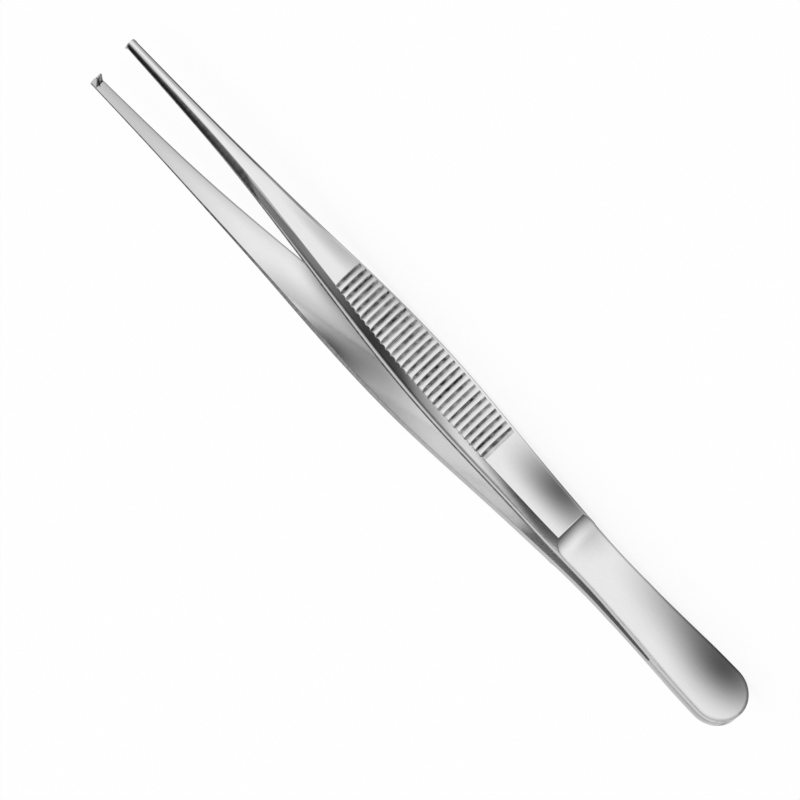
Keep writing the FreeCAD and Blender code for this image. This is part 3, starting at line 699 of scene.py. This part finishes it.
def make_grain():
    """Marks of lengthwise grinding: noise that is stretched along X."""
    group, source, result = node_group("grinding_grain", (
        ("Vector", "NodeSocketVector"), ("Scale", "NodeSocketFloat"), ("Stretch", "NodeSocketFloat"),
    ), ("Grain",))
    ratio = group.nodes.new("ShaderNodeCombineXYZ")
    ratio.inputs["Y"].default_value = 1.0
    ratio.inputs["Z"].default_value = 1.0
    group.links.new(math_node(group, "DIVIDE", 1.0, source.outputs["Stretch"]), ratio.inputs["X"])
    stretched = vector_node(group, "MULTIPLY", source.outputs["Vector"], ratio.outputs[0])
    noise = group.nodes.new("ShaderNodeTexNoise")
    noise.inputs["Detail"].default_value = 3.0
    group.links.new(stretched.outputs[0], noise.inputs["Vector"])
    group.links.new(source.outputs["Scale"], noise.inputs["Scale"])
    group.links.new(noise.outputs["Fac"], result.inputs["Grain"])
    return group


def make_spot():
    """A soft round spot on a level surface: 1 in the middle, and 0 from its reach on."""
    group, source, result = node_group("soft_spot", (
        ("Vector", "NodeSocketVector"), ("Centre", "NodeSocketVector"), ("Reach", "NodeSocketVector"),
    ), ("Spot",))
    away = vector_node(group, "SUBTRACT", source.outputs["Vector"], source.outputs["Centre"])
    share = vector_node(group, "DIVIDE", away.outputs[0], source.outputs["Reach"])
    length = vector_node(group, "LENGTH", share.outputs[0])
    spot = map_range(group, length.outputs["Value"], (0.0, 1.0), (1.0, 0.0), smooth=True)
    group.links.new(spot, result.inputs["Spot"])
    return group


def place_group(tree, group, vector, **values):
    """An instance of a node group in a material, with its vector linked and its other inputs set."""
    node = tree.nodes.new("ShaderNodeGroup")
    node.node_tree = group
    tree.links.new(vector, node.inputs["Vector"])
    for label, value in values.items():
        node.inputs[label].default_value = value
    return node.outputs[0]


def make_steel(grain):
    """Satin ground steel with fine lengthwise grain, and painted shade in uneven groove bottoms, along
    edges and on the downward sides, with a duller finish between the leaves.
    """
    steel, tree = new_material("satin_ground_steel")
    shader = tree.nodes["Principled BSDF"]
    place = coordinate(tree, "Object")
    fine = place_group(tree, grain, place, Scale=9000.0, Stretch=30.0)
    broad = place_group(tree, grain, place, Scale=500.0, Stretch=6.0)
    patchy = place_group(tree, grain, place, Scale=800.0, Stretch=0.45)

    # The groove mark is painted shade, made patchy by noise; it also makes the grooves rougher.
    uneven = map_range(tree, patchy, (0.35, 0.65), (0.62, 1.15))
    groove = math_node(tree, "MULTIPLY", attribute(tree, "groove"), uneven)
    groove = math_node(tree, "MINIMUM", groove, 0.97)
    # Patchy noise varies the painted shade lines of the edge mark.
    patchy_line_shade = map_range(tree, patchy, (0.3, 0.7), (0.8, 1.1))
    edge = math_node(tree, "MULTIPLY", attribute(tree, "edge"), patchy_line_shade)
    dull_and_shade = attribute(tree, "dull_and_shade")
    bright = map_range(tree, fine, (0.2, 0.8), (0.87, 0.93))
    # Each mark darkens the base colour as painted shade; the mark between the leaves also makes the steel
    # less metallic and rougher.
    for dark, depth in ((groove, 1.0), (edge, 1.0), (attribute(tree, "shade"), 1.0), (dull_and_shade, 0.7)):
        unshaded = math_node(tree, "MULTIPLY_ADD", dark, -depth, 1.0)
        bright = math_node(tree, "MULTIPLY", bright, unshaded)
    tree.links.new(grey(tree, bright), shader.inputs["Base Color"])

    rough = map_range(tree, broad, (0.3, 0.7), (0.09, 0.14))
    rough = math_node(tree, "MULTIPLY_ADD", groove, 0.3, rough)
    rough = math_node(tree, "MULTIPLY_ADD", dull_and_shade, 0.3, rough)
    tree.links.new(rough, shader.inputs["Roughness"])
    tree.links.new(math_node(tree, "MULTIPLY_ADD", dull_and_shade, -0.75, 1.0), shader.inputs["Metallic"])
    bump = tree.nodes.new("ShaderNodeBump")
    bump.inputs["Strength"].default_value = 0.04
    bump.inputs["Distance"].default_value = 0.00002
    tree.links.new(fine, bump.inputs["Height"])
    tree.links.new(bump.outputs[0], shader.inputs["Normal"])
    return steel


# The floor: its size in metres, the white that the steel reflects, the even share of what the camera
# sees, and painted shade spots that only the steel reflects, as middle and reach in millimetres, and
# depth.
FLOOR_SIZE = 4.0
FLOOR_WHITE = 0.9
FLOOR_SEEN = 0.88
FLOOR_SHADE_SPOTS = [
    ((-27.5, -6.8), (14.0, 17.0), 0.85),
    ((-65.7, -4.5), (13.0, 17.0), 0.8),
    ((-58.5, -0.3), (21.5, 17.5), 0.72),
    ((12.9, -1.1), (16.8, 15.0), 0.64),
    ((20.7, 3.3), (11.7, 7.6), 0.95),
    ((26.0, -11.0), (15.5, 9.3), 0.4),
    ((71.0, 4.9), (60.0, 9.0), 0.74),
    ((67.0, -9.6), (33.0, 13.8), 0.5),
]


def make_floor(spot):
    """Plain pale floor. The camera sees it white with a trace of the shadow, and the steel reflects it
    with soft grey spots of painted shade that the camera doesn't see."""
    mesh = bpy.data.meshes.new("floor")
    outline = [(-1, -1), (1, -1), (1, 1), (-1, 1)]
    mesh.from_pydata([(x * FLOOR_SIZE, y * FLOOR_SIZE, 0) for x, y in outline], [], [(0, 1, 2, 3)])
    floor = place_object("floor", mesh)
    paint, tree = new_material("pale_floor")
    shader = tree.nodes["Principled BSDF"]
    shader.inputs["Base Color"].default_value = (0.95, 0.95, 0.95, 1)
    shader.inputs["Roughness"].default_value = 0.9
    shader.inputs["Specular IOR Level"].default_value = 0.0
    path = tree.nodes.new("ShaderNodeLightPath")
    place = coordinate(tree, "Object")
    white = FLOOR_WHITE
    # Painted shade spots, seen only in the steel's reflections.
    for middle, reach, depth in FLOOR_SHADE_SPOTS:
        mask = place_group(tree, spot, place,
                           Centre=(middle[0] * MILLIMETRE, middle[1] * MILLIMETRE, 0.0),
                           Reach=(reach[0] * MILLIMETRE, reach[1] * MILLIMETRE, 1.0))
        left = math_node(tree, "MULTIPLY_ADD", mask, -depth, 1.0)
        white = math_node(tree, "MULTIPLY", left, white)
    white = math_node(tree, "MAXIMUM", white, path.outputs["Is Camera Ray"])
    glow = tree.nodes.new("ShaderNodeEmission")
    tree.links.new(grey(tree, white), glow.inputs["Color"])
    seen = math_node(tree, "MULTIPLY", path.outputs["Is Camera Ray"], FLOOR_SEEN)
    share = math_node(tree, "MAXIMUM", path.outputs["Is Glossy Ray"], seen)
    mix = tree.nodes.new("ShaderNodeMixShader")
    tree.links.new(share, mix.inputs[0])
    tree.links.new(shader.outputs[0], mix.inputs[1])
    tree.links.new(glow.outputs[0], mix.inputs[2])
    tree.links.new(mix.outputs[0], tree.nodes["Material Output"].inputs["Surface"])
    mesh.materials.append(paint)
    return floor


# The overhead card that the flanks reflect: its height and outline in metres, the span along Y over
# which it changes from front to back, and the span along X of its tones in millimetres. It is dark
# with a bright strip of light over the butt and a dim one over the jaws, and its end is bright.
CARD_HEIGHT = 0.2
CARD_OUTLINE = [(-0.3, -0.24), (0.3, -0.24), (0.3, 0.1), (0.05, 0.1), (0.03, 0.01), (-0.3, 0.01)]
CARD_CHANGE = (-0.17, -0.05)
CARD_SPAN = (-100, 160)
BRIGHT_STRIP = [(-58, 0.03), (-50, 1.0), (-30, 0.36), (-8, 0.04), (14, 0.03)]
CARD_FRONT = BRIGHT_STRIP + [(60, 0.3), (100, 0.1), (120, 0.1), (135, 0.8)]
CARD_OVER = BRIGHT_STRIP + [(48, 0.2), (74, 0.015), (120, 0.015), (135, 0.7)]


def make_card():
    """Overhead card with soft bright and dark bands across the length of the forceps."""
    mesh = bpy.data.meshes.new("overhead_card")
    mesh.from_pydata([(x, y, CARD_HEIGHT) for x, y in CARD_OUTLINE], [], [(5, 4, 3, 2, 1, 0)])
    card = place_object("overhead_card", mesh)
    card.visible_camera = False
    card.visible_diffuse = False
    card.visible_shadow = False
    paint, tree = new_material("overhead_card")
    tree.nodes.remove(tree.nodes["Principled BSDF"])
    split = tree.nodes.new("ShaderNodeSeparateXYZ")
    tree.links.new(coordinate(tree, "Object"), split.inputs[0])
    first, last = CARD_SPAN
    spread = map_range(tree, split.outputs["X"], (first * MILLIMETRE, last * MILLIMETRE), (0.0, 1.0))
    mix = tree.nodes.new("ShaderNodeMix")
    mix.data_type = "RGBA"
    change = map_range(tree, split.outputs["Y"], CARD_CHANGE, (0.0, 1.0))
    tree.links.new(change, mix.inputs["Factor"])
    for label, stops in (("A", CARD_FRONT), ("B", CARD_OVER)):
        bands = ramp(tree.nodes, [((x - first) / (last - first), tone) for x, tone in stops])
        tree.links.new(spread, bands.inputs[0])
        colour = [socket for socket in mix.inputs if socket.name == label and socket.type == "RGBA"][0]
        tree.links.new(bands.outputs[0], colour)
    blend = [socket for socket in mix.outputs if socket.type == "RGBA"][0]
    glow = tree.nodes.new("ShaderNodeEmission")
    tree.links.new(blend, glow.inputs["Color"])
    tree.links.new(glow.outputs[0], tree.nodes["Material Output"].inputs["Surface"])
    mesh.materials.append(paint)
    return card


# Tones of the studio that the steel reflects, by the angle in degrees over the forceps, from the front
# horizon at 0 to the one behind at 180.
SKY_SPAN = (-30, 180)
SKY_STOPS = [(8, 0.95), (30, 0.48), (72, 0.25), (104, 0.43), (120, 0.45), (142, 0.62), (180, 0.7)]


def make_world():
    """White world, in which the steel reflects softer tones overhead and behind."""
    world = bpy.data.worlds.new("studio")
    world.use_nodes = True
    tree = world.node_tree
    even = tree.nodes["Background"]
    even.inputs["Color"].default_value = (1, 1, 1, 1)
    even.inputs["Strength"].default_value = 1.0
    split = tree.nodes.new("ShaderNodeSeparateXYZ")
    tree.links.new(coordinate(tree, "Generated"), split.inputs[0])
    front = math_node(tree, "MULTIPLY", split.outputs["Y"], -1.0)
    angle = math_node(tree, "ARCTAN2", split.outputs["Z"], front)
    first, last = SKY_SPAN
    spread = map_range(tree, angle, (math.radians(first), math.radians(last)), (0.0, 1.0))
    bands = ramp(tree.nodes, [((stop - first) / (last - first), tone) for stop, tone in SKY_STOPS])
    tree.links.new(spread, bands.inputs[0])
    sky = tree.nodes.new("ShaderNodeBackground")
    tree.links.new(bands.outputs[0], sky.inputs["Color"])
    mix = tree.nodes.new("ShaderNodeMixShader")
    tree.links.new(tree.nodes.new("ShaderNodeLightPath").outputs["Is Glossy Ray"], mix.inputs[0])
    tree.links.new(even.outputs[0], mix.inputs[1])
    tree.links.new(sky.outputs[0], mix.inputs[2])
    tree.links.new(mix.outputs[0], tree.nodes["World Output"].inputs["Surface"])
    bpy.context.scene.world = world


# The camera: how far it stands above the floor in degrees and from the forceps in metres, the roll of
# its right-hand direction, the width of the picture in pixels, pixels in a millimetre, and where the
# middle of the forceps lies in the picture.
CAMERA_TILT = math.radians(28.0)
CAMERA_DISTANCE = 3.2
ROLL_COSINE, ROLL_SINE = 0.69102, 0.72284
PICTURE_WIDTH = 800
PIXELS_A_MILLIMETRE = 6.257
AIM_RIGHT, AIM_UP = -24.9, -11.47


def make_camera():
    """Long lens at the photograph's viewing angle: 28 degrees above the floor and rolled, so that the
    tips are at the upper left."""
    back = Vector((0, -math.cos(CAMERA_TILT), math.sin(CAMERA_TILT)))
    across = Vector((0, math.sin(CAMERA_TILT), math.cos(CAMERA_TILT)))
    along = Vector((1, 0, 0))
    right = -ROLL_COSINE * along - ROLL_SINE * across
    up = ROLL_SINE * along - ROLL_COSINE * across
    scale = MILLIMETRE / PIXELS_A_MILLIMETRE
    aim = Vector((0, 0, HALF_WIDTH * MILLIMETRE)) + AIM_RIGHT * scale * right + AIM_UP * scale * up
    lens = bpy.data.cameras.new("camera")
    lens.sensor_width = 36.0
    lens.lens = lens.sensor_width * CAMERA_DISTANCE / (PICTURE_WIDTH * scale)
    lens.clip_start = 0.05
    camera = place_object("camera", lens)
    turn = Matrix((right, up, back)).transposed().to_4x4()
    camera.matrix_world = Matrix.Translation(aim + back * CAMERA_DISTANCE) @ turn
    bpy.context.scene.camera = camera


bpy.context.scene.view_settings.view_transform = "Standard"
steel = make_steel(make_grain())
for arm in (
    make_arm("single_tooth_arm_steel", "single_tooth_arm", -1, SINGLE_EDGE, SINGLE_FADE, [MIDDLE_TOOTH]),
    make_arm("double_tooth_arm_steel", "double_tooth_arm", 1, DOUBLE_EDGE, DOUBLE_FADE,
             [UPPER_TOOTH, LOWER_TOOTH]),
):
    arm.data.materials.append(steel)
make_floor(make_spot())
make_card()
make_world()
make_camera()
